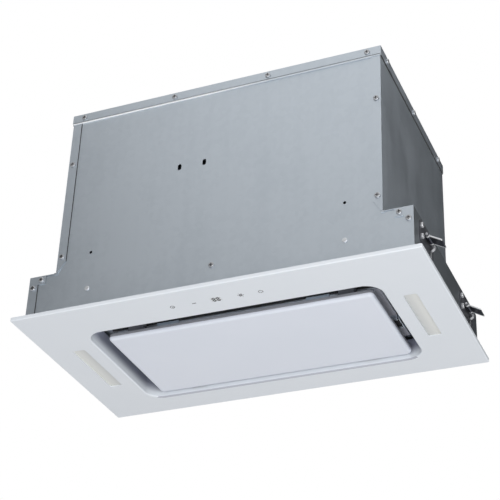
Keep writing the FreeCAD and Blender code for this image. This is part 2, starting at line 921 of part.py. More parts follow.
def make_impeller():
    half = fan_width / 2
    pieces = [rod(-fan_disc / 2, fan_y, fan_z, X_AXIS, fan_radius, fan_disc)]
    hub_length = motor_start - 2 * fan_disc
    pieces.append(rod(-hub_length, fan_y, fan_z, X_AXIS, hub_radius, 2 * hub_length))
    for x in (-half, half - fan_ring):
        pieces.append(tube(x, fan_y, fan_z, X_AXIS, fan_radius, fan_inner_radius, fan_ring))
    blade = make_blade()
    for number in range(blade_count):
        copy = blade.copy()
        copy.rotate(V(0, fan_y, fan_z), X_AXIS, number * 360 / blade_count)
        pieces.append(copy)
    shape = joined(pieces)
    bore = shaft_radius + shaft_gap
    return shape.cut(rod(-half, fan_y, fan_z, X_AXIS, bore, fan_width))


def make_motor():
    length = half_scroll - motor_start
    body = rod(motor_start, fan_y, fan_z, X_AXIS, motor_radius, length)
    ends = [edge for edge in body.Edges if edge.BoundBox.XLength < touching]
    body = body.makeFillet(shaft_radius, ends)
    return body.cut(rod(0, fan_y, fan_z, X_AXIS, shaft_radius + shaft_gap, scroll_width))


def make_shaft():
    start = -(motor_start - fan_disc)
    return rod(start, fan_y, fan_z, X_AXIS, shaft_radius, half_scroll - start - shaft_radius)


def make_motor_bracket():
    pieces = [rod(half_scroll, fan_y, fan_z, X_AXIS, motor_radius, bracket_plate)]
    half = arm_width / 2
    x1 = half_scroll + bracket_plate
    arm = block(half_scroll, x1, fan_y, fan_y + arm_reach, fan_z - half, fan_z + half)
    for number in range(arm_count):
        copy = arm.copy()
        copy.rotate(V(0, fan_y, fan_z), X_AXIS, arm_start + number * 360 / arm_count)
        pieces.append(copy)
    return joined(pieces)


def make_capacitor():
    y = fan_y + capacitor_y
    z = fan_z + capacitor_z
    can = rod(-half_scroll - capacitor_length, y, z, X_AXIS, capacitor_radius, capacitor_length)
    ends = [edge for edge in can.Edges if edge.BoundBox.XLength < touching]
    return can.makeFillet(shaft_gap + housing_sheet, ends)


# Outlet collar and damper

def make_outlet_plate():
    half_x = outlet_screw_x + outlet_flange
    half_y = collar_radius + collar_flange
    y0 = outlet_y - half_y
    y1 = outlet_y + half_y
    shape = plate(-half_x, half_x, y0, y1, collar_flange, housing_height, collar_top)
    neck = collar_radius - collar_shoulder
    shape = drilled(shape, [(0, outlet_y, housing_height)], Z_AXIS, neck + hole_gap)
    return drilled(shape, outlet_places, Z_AXIS, screw_hole)


def make_collar():
    bore = collar_radius - collar_wall
    neck_radius = collar_radius - collar_shoulder
    neck = tube(0, outlet_y, housing_height, Z_AXIS, neck_radius, bore, collar_wall)
    spigot = tube(0, outlet_y, collar_top, Z_AXIS, collar_radius, bore, collar_height - collar_wall)
    stop_low = damper_z - damper_sheet / 2 - mesh_gap - damper_sheet
    stop = tube(0, outlet_y, stop_low, Z_AXIS, bore + collar_wall / 2, bore - stop_width, damper_sheet)
    side = 2 * damper_slot
    reach = 2 * collar_radius
    rod_room = block(-reach, reach, outlet_y - side, outlet_y + side, housing_height, damper_z)
    shape = joined([neck, spigot, stop.cut(rod_room)])
    rod_hole = rod(-reach, outlet_y, damper_z, X_AXIS, damper_rod_radius + shaft_gap, 2 * reach)
    return shape.cut(rod_hole)


def make_damper_rod():
    reach = collar_radius - shaft_gap - mesh_gap
    return rod(-reach, outlet_y, damper_z, X_AXIS, damper_rod_radius, 2 * reach)


def make_flap(side, starts):
    radius = collar_radius - collar_wall - damper_gap
    half = damper_sheet / 2
    disc = rod(0, outlet_y, damper_z - half, Z_AXIS, radius, damper_sheet)
    y0, y1 = sorted((outlet_y + side * damper_slot, outlet_y + side * 2 * radius))
    shape = disc.common(block(-radius, radius, y0, y1, damper_z - half, damper_z + half))
    pieces = [shape]
    web_low, web_high = sorted((outlet_y, outlet_y + side * damper_slot))
    for start in starts:
        end = start + knuckle_length
        pieces.append(block(start, end, web_low, web_high, damper_z - half, damper_z + half))
        pieces.append(rod(start, outlet_y, damper_z, X_AXIS, damper_knuckle, knuckle_length))
    bore = rod(-radius, outlet_y, damper_z, X_AXIS, damper_rod_radius + shaft_gap, 2 * radius)
    return joined(pieces).cut(bore)


knuckle_pitch = knuckle_length + knuckle_gap
front_knuckles = [-2 * knuckle_pitch, knuckle_gap]
rear_knuckles = [-knuckle_pitch, knuckle_gap + knuckle_pitch]


# Power box and gland

box_left = -(half_upper - housing_sheet)
box_right = box_left + box_depth
box_top = cover_under - box_drop
box_low = box_top - box_height
box_front = middle_y - box_length / 2
box_back = middle_y + box_length / 2


def make_power_box():
    w = box_wall
    shape = block(box_left, box_right, box_front, box_back, box_low, box_top)
    shape = shape.cut(block(box_left + w, box_right, box_front + w, box_back - w, box_low + w, box_top - w))
    inset = box_wall + board_margin + standoff_radius
    posts = []
    for y in (box_front + inset, box_back - inset):
        for z in (box_low + inset, box_top - inset):
            posts.append(rod(box_left + w, y, z, X_AXIS, standoff_radius, standoff_height))
    return joined([shape] + posts)


def make_power_box_cover():
    return block(box_right, box_right + box_wall, box_front, box_back, box_low, box_top)


def make_power_board():
    start = box_left + box_wall + standoff_height
    end = start + board_thickness
    inset = box_wall + board_margin
    return block(start, end, box_front + inset, box_back - inset, box_low + inset, box_top - inset)


def make_gland():
    reach = housing_sheet + 2 * gland_nut
    body = rod(gland_x, gland_y, housing_height - reach, Z_AXIS, gland_radius, reach)
    dome = rod(gland_x, gland_y, housing_height, Z_AXIS, gland_collar, gland_height)
    dome = dome.makeFillet(gland_nut, [max(dome.Edges, key=lambda edge: edge.BoundBox.ZMin)])
    shape = joined([body, dome])
    shape = shape.cut(rod(gland_x, gland_y, housing_height - reach, Z_AXIS, gland_bore, reach + gland_height))
    nut_low = cover_under - gland_nut
    nut = tube(gland_x, gland_y, nut_low, Z_AXIS, gland_collar, gland_radius + shaft_gap, gland_nut)
    return [shape, nut]


# Side clips, made for the right side and mirrored to the left

clip_bore = clip_pin_radius + shaft_gap
ear_inner = wing_width / 2 + ear_gap
ear_outer = ear_inner + ear_sheet
clip_face = half_lower + clip_plate


def make_clip_base(y):
    half = clip_plate_length / 2
    low = V(half_lower, 0, 0)
    wire = outline(-half, half, clip_plate_low, clip_plate_high, clip_plate_corner, 0)
    wire.Placement = FreeCAD.Placement(low + V(0, y, 0), FreeCAD.Rotation(V(0, 1, 0), V(0, 0, 1), V(1, 0, 0)))
    pieces = [Part.Face(wire).extrude(V(clip_plate, 0, 0))]
    for y0 in (y - ear_outer, y + ear_inner):
        y1 = y0 + ear_sheet
        pieces.append(block(half_lower, clip_x, y0, y1, clip_z - clip_knuckle, clip_z + clip_knuckle))
        pieces.append(rod(clip_x, y0, clip_z, Y_AXIS, clip_knuckle, ear_sheet))
    shape = joined(pieces)
    shape = shape.cut(rod(clip_x, y - ear_outer, clip_z, Y_AXIS, clip_bore, 2 * ear_outer))
    return drilled(shape, clip_places, X_AXIS, screw_hole)


def make_clip_pin(y):
    start = y - ear_outer - ear_sheet
    end = y + ear_outer + spring_width + ear_sheet
    return rod(clip_x, start, clip_z, Y_AXIS, clip_pin_radius, end - start)


def make_clip_wing(y):
    half = wing_width / 2
    sheet = wing_sheet / 2
    flap = block(clip_x, clip_x + wing_length, y - half, y + half, clip_z - sheet, clip_z + sheet)
    flap.rotate(V(clip_x, y, clip_z), Y_AXIS, wing_angle)
    barrel = rod(clip_x, y - half, clip_z, Y_AXIS, clip_knuckle, wing_width)
    bore = rod(clip_x, y - half, clip_z, Y_AXIS, clip_bore, wing_width)
    return joined([flap, barrel]).cut(bore)


def make_clip_spring(y):
    start = y + ear_outer + ear_gap
    eye = tube(clip_x, start, clip_z, Y_AXIS, clip_bore + spring_sheet, clip_bore, spring_width)
    foot_top = clip_plate_low + spring_foot
    foot = block(clip_face, clip_face + spring_sheet, start, start + spring_width, clip_plate_low, foot_top)
    leg_x = clip_x + clip_bore
    low = V(clip_face, start, foot_top)
    bulge = V(leg_x, start, (foot_top + clip_z) / 2)
    top = V(leg_x, start, clip_z)
    thick = V(spring_sheet, 0, 0)
    edges = [
        Part.Arc(low, bulge, top).toShape(),
        Part.LineSegment(top, top + thick).toShape(),
        Part.Arc(top + thick, bulge + thick, low + thick).toShape(),
        Part.LineSegment(low + thick, low).toShape(),
    ]
    leg = Part.Face(Part.Wire(edges)).extrude(V(0, spring_width, 0))
    leg = leg.cut(rod(clip_x, start, clip_z, Y_AXIS, clip_bore, spring_width))
    return joined([eye, foot, leg])


# Write one file for each node

def fasteners(template, places, direction):
    return [placed(template, x, y, z, direction) for x, y, z in places]


clip_pairs = [make_clip_base(y) for y in clip_y]
upper_side = make_upper_side()
lower_side = make_lower_side()
side_rail = make_side_rail()
latch = make_latch()
scroll_right = make_scroll_right()
lens = make_lens()
lamp_housing = make_lamp_housing()
wings = {name: make_clip_wing(y) for name, y in zip(("front", "rear"), clip_y)}

nodes = {
    "fascia": [make_fascia()],
    "intake_panel": [make_intake_panel()],
    "panel_hinge_leaves": both_sides(make_hinge_leaf()),
    "panel_hinge_brackets": both_sides(make_hinge_bracket()),
    "panel_hinge_pins": both_sides(make_hinge_pin()),
    "catch_magnets": both_sides(make_magnet()),
    "catch_strikes": both_sides(make_strike()),
    "lamp_lens_right": [lens],
    "lamp_lens_left": [mirror_x(lens)],
    "lamp_housing_right": [lamp_housing],
    "lamp_housing_left": [mirror_x(lamp_housing)],
    "led_boards": both_sides(make_led_board()),
    "display_window": [make_display()],
    "touch_board": [make_touch_board()],
    "control_holder": [make_control_holder()],
    "front_panel": [make_front_panel()],
    "back_panel": [make_back_panel()],
    "upper_side_right": [upper_side],
    "upper_side_left": [mirror_x(upper_side)],
    "lower_side_right": [lower_side],
    "lower_side_left": [mirror_x(lower_side)],
    "top_cover": [make_top_cover()],
    "cover_screws": fasteners(screw, cover_front_screws, TO_FRONT)
    + fasteners(screw, cover_back_screws, Y_AXIS)
    + fasteners(screw, cover_right_screws, X_AXIS)
    + fasteners(screw, cover_left_screws, TO_LEFT),
    "plate_screws": fasteners(screw, front_screws + front_centre, TO_FRONT)
    + fasteners(screw, back_screws + back_centre, Y_AXIS),
    "rail_rivets": fasteners(rivet, front_rivets, TO_FRONT) + fasteners(rivet, back_rivets, Y_AXIS),
    "fascia_screws": fasteners(hem_screw, fascia_places, Z_AXIS),
    "filter_rail_front": [make_front_rail()],
    "filter_rail_rear": [make_rear_rail()],
    "filter_rail_right": [side_rail],
    "filter_rail_left": [mirror_x(side_rail)],
    "filter_frame": [make_filter_frame()],
    "filter_mesh": [make_filter_mesh()],
    "filter_latch_right": [latch],
    "filter_latch_left": [mirror_x(latch)],
    "latch_guides": make_latch_guides() + [mirror_x(guide) for guide in make_latch_guides()],
    "scroll_right": [scroll_right],
    "scroll_left": [mirror_x(scroll_right)],
    "impeller": [make_impeller()],
    "motor": [make_motor()],
    "motor_shaft": [make_shaft()],
    "motor_bracket": [make_motor_bracket()],
    "capacitor": [make_capacitor()],
    "outlet_plate": [make_outlet_plate()],
    "duct_collar": [make_collar()],
    "damper_rod": [make_damper_rod()],
    "damper_flap_front": [make_flap(-1, front_knuckles)],
    "damper_flap_rear": [make_flap(1, rear_knuckles)],
    "outlet_screws": fasteners(screw, outlet_places, Z_AXIS),
    "power_box": [make_power_box()],
    "power_box_cover": [make_power_box_cover()],
    "power_board": [make_power_board()],
    "cable_gland": make_gland(),
    "clip_bases": clip_pairs + [mirror_x(base) for base in clip_pairs],
    "clip_pins": [half for y in clip_y for half in both_sides(make_clip_pin(y))],
    "clip_springs": [half for y in clip_y for half in both_sides(make_clip_spring(y))],
    "clip_screws": [half for each in fasteners(screw, clip_places, X_AXIS) for half in both_sides(each)],
}
for name, wing in wings.items():
    nodes["clip_wing_" + name + "_right"] = [wing]
    nodes["clip_wing_" + name + "_left"] = [mirror_x(wing)]

os.makedirs("parts", exist_ok=True)
for name, shapes in nodes.items():
    shape = shapes[0] if len(shapes) == 1 else Part.makeCompound(shapes)
    shape.exportStep("parts/" + name + ".step")
    print(name, len(shape.Solids), round(shape.Volume), shape.isValid())
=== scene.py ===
import json
from math import cos, radians, sin

import bmesh
import bpy
from mathutils import Matrix, Vector


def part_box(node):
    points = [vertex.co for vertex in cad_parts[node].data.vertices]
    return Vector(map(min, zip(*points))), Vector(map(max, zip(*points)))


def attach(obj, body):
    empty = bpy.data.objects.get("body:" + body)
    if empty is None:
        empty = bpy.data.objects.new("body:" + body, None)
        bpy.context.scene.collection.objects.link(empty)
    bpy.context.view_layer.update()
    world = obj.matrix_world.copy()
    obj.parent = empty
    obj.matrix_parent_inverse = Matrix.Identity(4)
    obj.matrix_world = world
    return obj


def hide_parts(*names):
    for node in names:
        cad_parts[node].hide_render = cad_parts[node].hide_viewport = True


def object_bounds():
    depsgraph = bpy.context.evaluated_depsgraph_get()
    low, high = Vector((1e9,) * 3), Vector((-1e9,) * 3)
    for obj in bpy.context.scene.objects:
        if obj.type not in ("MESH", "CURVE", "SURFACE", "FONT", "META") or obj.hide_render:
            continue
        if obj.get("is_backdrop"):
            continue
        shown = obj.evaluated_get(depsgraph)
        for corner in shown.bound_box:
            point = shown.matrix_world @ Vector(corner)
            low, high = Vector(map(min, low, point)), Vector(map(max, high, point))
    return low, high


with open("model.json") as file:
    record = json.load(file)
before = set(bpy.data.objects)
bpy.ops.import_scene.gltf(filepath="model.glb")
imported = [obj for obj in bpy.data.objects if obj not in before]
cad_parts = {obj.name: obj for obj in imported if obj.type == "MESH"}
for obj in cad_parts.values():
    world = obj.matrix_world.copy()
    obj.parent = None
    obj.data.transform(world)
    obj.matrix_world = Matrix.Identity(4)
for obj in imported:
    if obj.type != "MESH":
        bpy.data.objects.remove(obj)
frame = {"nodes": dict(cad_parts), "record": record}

# Range hood seen from below, front and right. All sizes are in metres, in the frame of the CAD model.

cad_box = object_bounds()
scene = bpy.context.scene
scene.view_settings.view_transform = "Standard"
record = frame["record"]
slot_of = {part["node"]: part["material_slot"] for part in record["subparts"]}
body_of = {node: body for body, nodes in record["behaviour"]["bodies"].items() for node in nodes}

MM = 0.001
WELD = 0.001 * MM
FLAT = radians(0.5)
SHARP = radians(40)

# Edge rounding of each material slot. A slot that isn't listed keeps its square edges.
EDGE_ROUND = {
    "white_paint": 0.2 * MM,
    "galvanised": 0.22 * MM,
    "spring_steel": 0.2 * MM,
    "black_plastic": 0.3 * MM,
    "grey_plastic": 0.3 * MM,
    "filter_aluminium": 0.4 * MM,
    "display_black": 0.15 * MM,
    "circuit_board": 0.1 * MM,
}
ROUND_STEPS = 2

# Share of a face's normal along an axis, from which it counts as a fold or as a broad face of a sheet
FOLD_LEAN = 0.15
BROAD_LEAN = 0.7

# Touch row on the front edge of the fascia, and how far its ink lies above and below the paint
ICON_PITCH = 28.5 * MM
ICON_RADIUS = 2.6 * MM
ICON_LINE = 1.0 * MM
DASH_LINE = 1.6 * MM
LAMP_ICON_SHIFT = 3 * MM
INK_PROUD = 0.015 * MM
INK_SUNK = 0.05 * MM

# Strokes of the icons, as shares of the icon's radius
BULB_RADIUS = 0.55
BULB_LINE = 0.7
RAY_START = 1.15
RAY_END = 1.6
RAY_COUNT = 6
POWER_STROKE_START = 0.3
POWER_STROKE_END = 1.25
LONG_HAND = 0.7
SHORT_HAND = 0.5

# Open arc of the power icon, in degrees
POWER_ARC_START = -240
POWER_ARC_END = 60

# Two figures of the display, drawn in bars
FIGURE_OFFSET = 2.75 * MM
FIGURE_WIDTH = 3.3 * MM
FIGURE_HEIGHT = 7.4 * MM
FIGURE_LINE = 2.0 * MM
FIGURE_GAP = 0.1 * MM

# White front plate of the intake panel; the tray's walls above it are grey, as painted shade
PANEL_PLATE = 4.4 * MM

# Cross recess in a screw head
RECESS_REACH = 2.25 * MM
RECESS_TOP = 0.1 * MM
RECESS_FLOOR = 1.35 * MM

# Frosted lens, crowned across its width and nearly straight along its length
LENS_CROWN = 0.5 * MM
LENS_RIM = 2.0 * MM
LENS_COLUMNS = 12
LENS_ROWS = 30
LENS_WIDTH_POWER = 2
LENS_LENGTH_POWER = 8

# Painted shade: a blue-grey takes over from the white paint up the lip of the intake opening, darker higher
# up
FADE_START = 1 * MM
FADE_END = 13 * MM

# Black strip on the front of the filter frame, as painted shade behind the front edge of the opening
SHADE_STRIP_RISE = 3.5 * MM
SHADE_STRIP_DEPTH = 2.0 * MM

# Bright rim on the front and back of a clip wing, a painted highlight
WING_RIM = 2.2 * MM

# Patch that closes the inner corner of each notch beside the upper box
PATCH_WIDTH = 4.5 * MM
PATCH_HEIGHT = 3.2 * MM
PATCH_SIDE_RISE = 0.8 * MM

# Expanded metal of the filter
STRAND_PITCH = 4.0 * MM
STRAND_STEP = 5.0 * MM
STRAND_WIDTH = 0.8 * MM
STRAND_HEIGHT = 0.6 * MM
MESH_LAYERS = 3

# White bead under the cover's front lip, a painted highlight that fades towards the right
BEAD_DROP = 0.8 * MM
BEAD_HEIGHT = 1.6 * MM
HIGHLIGHT_FADE_START = -20 * MM
HIGHLIGHT_FADE_END = 80 * MM

# Black lines beside the bent strips that frame the front plate and under the cover's side lips, as painted
# shade in the gaps
STRIP_WIDTH = 12 * MM
SEAM_START = 16 * MM
SHADE_LINE_WIDTH = 0.55 * MM
SHADE_LINE_HEIGHT = 0.8 * MM
LIP_SHADE_HEIGHT = 2.0 * MM
LIP_SHADE_DEPTH = 0.9 * MM

# Textures: the same in all directions, or drawn out along one axis
EVEN = (1, 1, 1)
BRUSHED_X = (0.05, 1, 1)
BRUSHED_Y = (1, 0.1, 1)
BRUSHED_Z = (1, 1, 0.1)
ROLLED_Z = (1, 1, 0.06)

# How much rougher the dullest spots of a material are than its brightest
METAL_ROUGH_SPREAD = 0.15
PLASTIC_ROUGH_SPREAD = 0.12

# Camera, placed as in the photograph
CAMERA_PLACE = Vector((0.63195, -1.45505, -0.84712))
CAMERA_AZIMUTH = radians(23.768)
CAMERA_ELEVATION = radians(-31.617)
CAMERA_ROLL = radians(2.331)
CAMERA_LENS = 103.78
CAMERA_SENSOR = 36
CAMERA_REACH = 100

# Corners of a square sheet in order
SQUARE = ((-1, -1), (1, -1), (1, 1), (-1, 1))

# White surroundings over a pale floor
AMBIENT = 0.55
FLOOR_LEVEL = -2.4
FLOOR_REACH = 30.0
FLOOR_COLOUR = (0.85, 0.85, 0.86, 1)
FLOOR_ROUGHNESS = 0.8
FLOOR_GLOW = 0.8

# Round lamps that face the origin, each with its place, width and power
LAMPS = {
    "key_camera": ((1.0, -1.4, -1.05), 1.0, 8.0),
    "key_right": ((1.7, -0.6, -0.6), 0.8, 7.4),
    "key_front": ((0.1, -1.8, -0.6), 0.8, 7.6),
    "under_front": ((0.1, -1.0, -1.6), 1.2, 4.2),
}

# Upright cards in front of the object, each with its reach in X and Z and its brightness
UPRIGHT_CARD_Y = -1.6
UPRIGHT_CARDS = {
    "left_card": ((-4, -1.2), (0, 3.5), 0.02),
    "low_card": ((-1.2, 1.95), (-1, 1.04), 0.39),
}

# Black card behind the object, where the right wall mirrors the camera's line of sight
BLACK_CARD_SIDE = Vector((0.343, 0.779, 0.524))
BLACK_CARD_DISTANCE = 1.0
BLACK_CARD_HALF = 0.55


# Node helpers for materials

def new_material(name):
    material = bpy.data.materials.new(name)
    material.use_nodes = True
    tree = material.node_tree
    return material, tree, tree.nodes["Principled BSDF"]


def place_input(tree, stretch):
    coordinates = tree.nodes.new("ShaderNodeTexCoord")
    mapping = tree.nodes.new("ShaderNodeMapping")
    mapping.inputs["Scale"].default_value = stretch
    tree.links.new(coordinates.outputs["Object"], mapping.inputs["Vector"])
    return mapping.outputs["Vector"]


def place_along(tree, axis):
    split = tree.nodes.new("ShaderNodeSeparateXYZ")
    tree.links.new(place_input(tree, EVEN), split.inputs["Vector"])
    return split.outputs[axis]


def noise(tree, scale, detail=3.0, stretch=EVEN):
    node = tree.nodes.new("ShaderNodeTexNoise")
    node.inputs["Scale"].default_value = scale
    node.inputs["Detail"].default_value = detail
    tree.links.new(place_input(tree, stretch), node.inputs["Vector"])
    return node.outputs["Fac"]


def cells(tree, scale):
    node = tree.nodes.new("ShaderNodeTexVoronoi")
    node.inputs["Scale"].default_value = scale
    tree.links.new(place_input(tree, EVEN), node.inputs["Vector"])
    split = tree.nodes.new("ShaderNodeSeparateColor")
    tree.links.new(node.outputs["Color"], split.inputs["Color"])
    return split.outputs["Red"]


def spread(tree, value, low, high, start=0.3, end=0.7):
    """A value that goes from low to high while the input goes from start to end."""
    node = tree.nodes.new("ShaderNodeMapRange")
    node.inputs["From Min"].default_value = start
    node.inputs["From Max"].default_value = end
    node.inputs["To Min"].default_value = low
    node.inputs["To Max"].default_value = high
    tree.links.new(value, node.inputs["Value"])
    return node.outputs["Result"]


def add_up(tree, first, second, share):
    """The first value plus a share of the second."""
    node = tree.nodes.new("ShaderNodeMath")
    node.operation = "MULTIPLY_ADD"
    tree.links.new(second, node.inputs[0])
    node.inputs[1].default_value = share
    tree.links.new(first, node.inputs[2])
    return node.outputs["Value"]


def two_tone(tree, value, dark, light, start=0.3, end=0.7):
    """A colour that goes from the first to the second while the input goes from start to end."""
    node = tree.nodes.new("ShaderNodeValToRGB")
    node.color_ramp.elements[0].position = start
    node.color_ramp.elements[0].color = (*dark, 1)
    node.color_ramp.elements[1].position = end
    node.color_ramp.elements[1].color = (*light, 1)
    tree.links.new(value, node.inputs["Fac"])
    return node.outputs["Color"]


def bump(tree, shader, height, depth, strength):
    node = tree.nodes.new("ShaderNodeBump")
    node.inputs["Strength"].default_value = strength
    node.inputs["Distance"].default_value = depth
    tree.links.new(height, node.inputs["Height"])
    tree.links.new(node.outputs["Normal"], shader.inputs["Normal"])


# Materials

def painted_shade_fade(tree, paint):
    """Painted shade: blue-grey in place of the paint, more of it higher up the lip."""
    mix = tree.nodes.new("ShaderNodeMixRGB")
    share = spread(tree, place_along(tree, "Z"), low=0.0, high=1.0, start=FADE_START, end=FADE_END)
    tree.links.new(share, mix.inputs["Fac"])
    tree.links.new(paint, mix.inputs["Color1"])
    # Blue-grey of the painted shade
    mix.inputs["Color2"].default_value = (0.30, 0.315, 0.40, 1)
    return mix.outputs["Color"]


def white_paint(name, dark, light, shade_up_lip=False):
    material, tree, shader = new_material(name)
    cloud = noise(tree, scale=9, detail=2)
    peel = noise(tree, scale=420, detail=1)
    colour = two_tone(tree, cloud, dark, light)
    if shade_up_lip:
        colour = painted_shade_fade(tree, colour)
    tree.links.new(colour, shader.inputs["Base Color"])
    tree.links.new(spread(tree, peel, low=0.3, high=0.34), shader.inputs["Roughness"])
    shader.inputs["Coat Weight"].default_value = 0.2
    shader.inputs["Coat Roughness"].default_value = 0.15
    bump(tree, shader, peel, depth=0.004 * MM, strength=0.3)
    return material


def galvanised(name, tone):
    """Zinc coat with small spangles and faint upright rolling streaks."""
    material, tree, shader = new_material(name)
    spangle = cells(tree, scale=160)
    streak = noise(tree, scale=60, detail=4, stretch=ROLLED_Z)
    cloud = noise(tree, scale=12)
    mixed = add_up(tree, add_up(tree, cloud, spangle, share=0.22), streak, share=0.5)
    dark = Vector((0.54, 0.596, 0.654)) * tone
    light = Vector((0.588, 0.644, 0.702)) * tone
    colour = two_tone(tree, mixed, dark, light, start=0.55, end=1.0)
    tree.links.new(colour, shader.inputs["Base Color"])
    shader.inputs["Metallic"].default_value = 0.96
    shader.inputs["Specular IOR Level"].default_value = 0.25
    roughness = spread(tree, mixed, low=0.37, high=0.43, start=0.5, end=1.2)
    tree.links.new(roughness, shader.inputs["Roughness"])
    bump(tree, shader, add_up(tree, streak, spangle, share=0.3), depth=0.01 * MM, strength=0.4)
    return material


def metal(name, dark, light, rough, streaks, bare=1.0):
    """Streaked and stained metal, where bare is how far it is free of oxide or coating."""
    material, tree, shader = new_material(name)
    streak = noise(tree, scale=180, detail=4, stretch=streaks)
    stain = noise(tree, scale=60)
    mixed = add_up(tree, stain, streak, share=0.6)
    colour = two_tone(tree, mixed, dark, light, start=0.5, end=1.0)
    tree.links.new(colour, shader.inputs["Base Color"])
    shader.inputs["Metallic"].default_value = bare
    roughness = spread(tree, mixed, low=rough, high=rough + METAL_ROUGH_SPREAD, start=0.5, end=1.1)
    tree.links.new(roughness, shader.inputs["Roughness"])
    bump(tree, shader, streak, depth=0.01 * MM, strength=0.5)
    return material


def plastic(name, dark, light, rough, grain_depth):
    """Dull, finely grained surface: moulded plastic, ferrite, and flat colours of painted shade and painted
    light.
    """
    material, tree, shader = new_material(name)
    grain = noise(tree, scale=1400, detail=2)
    cloud = noise(tree, scale=25)
    tree.links.new(two_tone(tree, cloud, dark, light), shader.inputs["Base Color"])
    roughness = spread(tree, grain, low=rough, high=rough + PLASTIC_ROUGH_SPREAD)
    tree.links.new(roughness, shader.inputs["Roughness"])
    bump(tree, shader, grain, grain_depth, strength=0.6)
    return material


def lens_plastic():
    """Frosted, with painted shade: darker towards the inner side of each lamp, paler towards the outer
    side.
    """
    material, tree, shader = new_material("lens_plastic")
    frost = noise(tree, scale=700, detail=2)
    outward = tree.nodes.new("ShaderNodeMath")
    outward.operation = "ABSOLUTE"
    tree.links.new(place_along(tree, "X"), outward.inputs[0])
    low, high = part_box("lamp_lens_right")
    inner = low.x + LENS_RIM
    outer = high.x - LENS_RIM
    share = spread(tree, outward.outputs["Value"], low=0.0, high=1.0, start=inner, end=outer)
    mixed = add_up(tree, share, frost, share=0.1)
    # Darker inner end of the ramp is painted shade
    colour = two_tone(tree, mixed, (0.60, 0.62, 0.62), (0.80, 0.81, 0.78), start=0.0, end=1.0)
    tree.links.new(colour, shader.inputs["Base Color"])
    tree.links.new(spread(tree, frost, low=0.35, high=0.42), shader.inputs["Roughness"])
    shader.inputs["Transmission Weight"].default_value = 0.04
    bump(tree, shader, frost, depth=0.004 * MM, strength=0.2)
    return material


def display_black():
    """Unlit display window, nearly as pale as the fascia around it."""
    material, tree, shader = new_material("display_black")
    haze = noise(tree, scale=400)
    colour = two_tone(tree, haze, (0.70, 0.73, 0.75), (0.74, 0.77, 0.79))
    tree.links.new(colour, shader.inputs["Base Color"])
    tree.links.new(spread(tree, haze, low=0.12, high=0.2), shader.inputs["Roughness"])
    bump(tree, shader, haze, depth=0.005 * MM, strength=0.3)
    return material


def circuit_board():
    material, tree, shader = new_material("circuit_board")
    traces = tree.nodes.new("ShaderNodeTexBrick")
    traces.inputs["Scale"].default_value = 160
    traces.inputs["Color1"].default_value = (0.02, 0.13, 0.05, 1)
    traces.inputs["Color2"].default_value = (0.03, 0.17, 0.07, 1)
    traces.inputs["Mortar"].default_value = (0.09, 0.26, 0.12, 1)
    tree.links.new(place_input(tree, EVEN), traces.inputs["Vector"])
    tree.links.new(traces.outputs["Color"], shader.inputs["Base Color"])
    gloss = noise(tree, scale=300)
    tree.links.new(spread(tree, gloss, low=0.25, high=0.4), shader.inputs["Roughness"])
    bump(tree, shader, traces.outputs["Fac"], depth=0.03 * MM, strength=0.5)
    return material


def highlight_white():
    """Painted highlight: white on the left, fading to grey towards the right."""
    material, tree, shader = new_material("highlight_white")
    grain = noise(tree, scale=900, detail=2)
    fade = spread(tree, place_along(tree, "X"), low=0.0, high=1.0, start=HIGHLIGHT_FADE_START, end=HIGHLIGHT_FADE_END)
    mixed = add_up(tree, fade, grain, share=0.1)
    colour = two_tone(tree, mixed, (0.92, 0.93, 0.94), (0.56, 0.60, 0.64), start=0.0, end=1.0)
    tree.links.new(colour, shader.inputs["Base Color"])
    tree.links.new(spread(tree, grain, low=0.4, high=0.55), shader.inputs["Roughness"])
    bump(tree, shader, grain, depth=0.02 * MM, strength=0.4)
    return material


def printed_ink():
    material, tree, shader = new_material("printed_ink")
    fade = noise(tree, scale=900, detail=2)
    colour = two_tone(tree, fade, (0.10, 0.105, 0.11), (0.17, 0.175, 0.18))
    tree.links.new(colour, shader.inputs["Base Color"])
    tree.links.new(spread(tree, fade, low=0.35, high=0.5), shader.inputs["Roughness"])
    bump(tree, shader, fade, depth=0.01 * MM, strength=0.3)
    return material


# Finish of each material slot
materials = {
    "white_paint": white_paint("white_paint", (0.715, 0.755, 0.835), (0.735, 0.772, 0.85)),
    "galvanised": galvanised("galvanised", tone=1.0),
    "bright_steel": metal("bright_steel", (0.36, 0.37, 0.39), (0.52, 0.53, 0.55), 0.24, EVEN),
    "spring_steel": metal("spring_steel", (0.04, 0.045, 0.06), (0.08, 0.085, 0.105), 0.26, BRUSHED_Y),
    "filter_aluminium": metal("filter_aluminium", (0.58, 0.59, 0.61), (0.72, 0.73, 0.75), 0.32, BRUSHED_X),
    "motor_steel": metal("motor_steel", (0.40, 0.41, 0.43), (0.52, 0.53, 0.55), 0.35, BRUSHED_Z),
    "black_plastic": plastic("black_plastic", (0.018, 0.018, 0.019), (0.03, 0.03, 0.032), 0.4, 0.03 * MM),
    "grey_plastic": plastic("grey_plastic", (0.36, 0.37, 0.38), (0.42, 0.43, 0.44), 0.42, 0.03 * MM),
    "lens_plastic": lens_plastic(),
    "display_black": display_black(),
    "circuit_board": circuit_board(),
}

# Finishes of single pieces, or of some of their faces
# Darker copy of the galvanised finish, as painted shade on the lower side walls
shaded_zinc = galvanised("shaded_zinc", tone=0.44)
